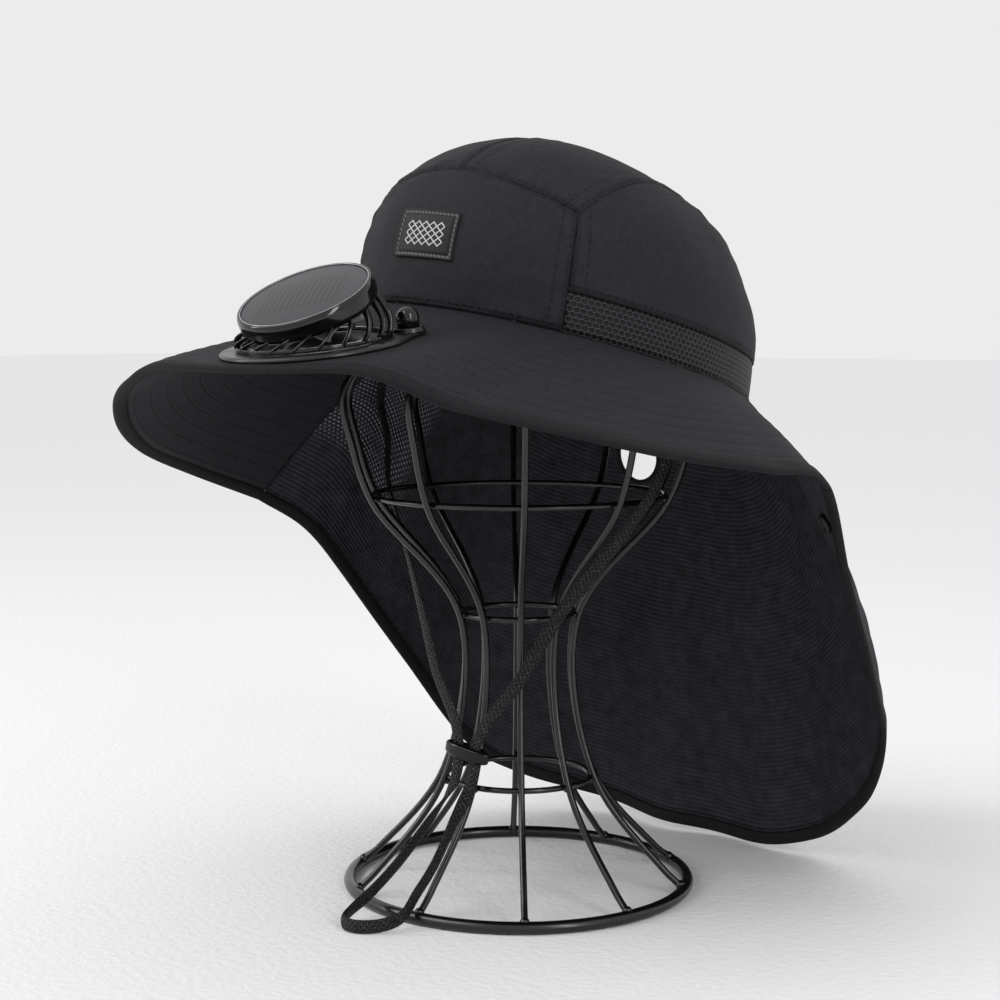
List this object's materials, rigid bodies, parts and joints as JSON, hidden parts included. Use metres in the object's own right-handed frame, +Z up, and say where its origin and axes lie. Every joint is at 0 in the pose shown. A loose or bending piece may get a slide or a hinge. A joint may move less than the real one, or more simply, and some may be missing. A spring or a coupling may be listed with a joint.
{
  "type": "solar fan sun hat on a wire hat stand",
  "caption": "Bucket-style sun hat with a wide brim, neck flap, solar panel fan and chin strap, resting on a flared wire hat stand.",
  "frame": {"origin": "the middle of the underside of the bounding box without the chin strap, at floor level", "axes": "+Z up, the hat's front towards -Y, the wearer's left towards +X"},
  "size_m": [0.3136, 0.3306, 0.3431],
  "materials": {
    "cloth": "matte charcoal woven polyester",
    "mesh_cloth": "coarse black air mesh",
    "binding_tape": "woven binding tape",
    "strap_braid": "flat black braid",
    "patch_rubber": "matte moulded rubber",
    "satin_plastic": "satin black",
    "gloss_plastic": "glossy black",
    "solar_glass": "clear cover over dark solar cells",
    "rotor_plastic": "smoked grey",
    "stand_steel": "semi-gloss black paint"
  },
  "bodies": {
    "hat_and_stand": {"stand_base_ring": "stand_steel", "stand_lower_ring": "stand_steel", "stand_waist_ring": "stand_steel", "stand_upper_ring": "stand_steel", "stand_top_ring": "stand_steel", "stand_wire_1": "stand_steel", "stand_wire_2": "stand_steel", "stand_wire_3": "stand_steel", "stand_wire_4": "stand_steel", "stand_wire_5": "stand_steel", "stand_wire_6": "stand_steel", "stand_wire_7": "stand_steel", "stand_wire_8": "stand_steel", "stand_wire_9": "stand_steel", "stand_wire_10": "stand_steel", "crown_front_panel": "cloth", "crown_top_panel_left": "cloth", "crown_side_panel_left": "cloth", "crown_top_panel_right": "cloth", "crown_side_panel_right": "cloth", "crown_mesh_band": "mesh_cloth", "patch": "patch_rubber", "brim": "cloth", "neck_flap_left": "cloth", "neck_flap_back_left": "cloth", "neck_flap_back_right": "cloth", "neck_flap_right": "cloth", "brim_binding": "binding_tape", "flap_binding": "binding_tape", "flap_snap": "satin_plastic", "fan_base_flange": "satin_plastic", "fan_lower_grille": "satin_plastic", "fan_vane_cage": "gloss_plastic", "power_button": "gloss_plastic", "solar_housing": "gloss_plastic", "solar_glass": "solar_glass", "chin_strap": "strap_braid", "strap_slider": "gloss_plastic"},
    "rotor": {"fan_rotor": "rotor_plastic"}
  },
  "joints": [
    {"name": "rotor_spin", "type": "hinge", "parent": "hat_and_stand", "child": "rotor", "pos_m": [-0.0012, -0.1227, 0.26285], "axis": [0, -0.4695, 0.8829], "continuous": true}
  ]
}
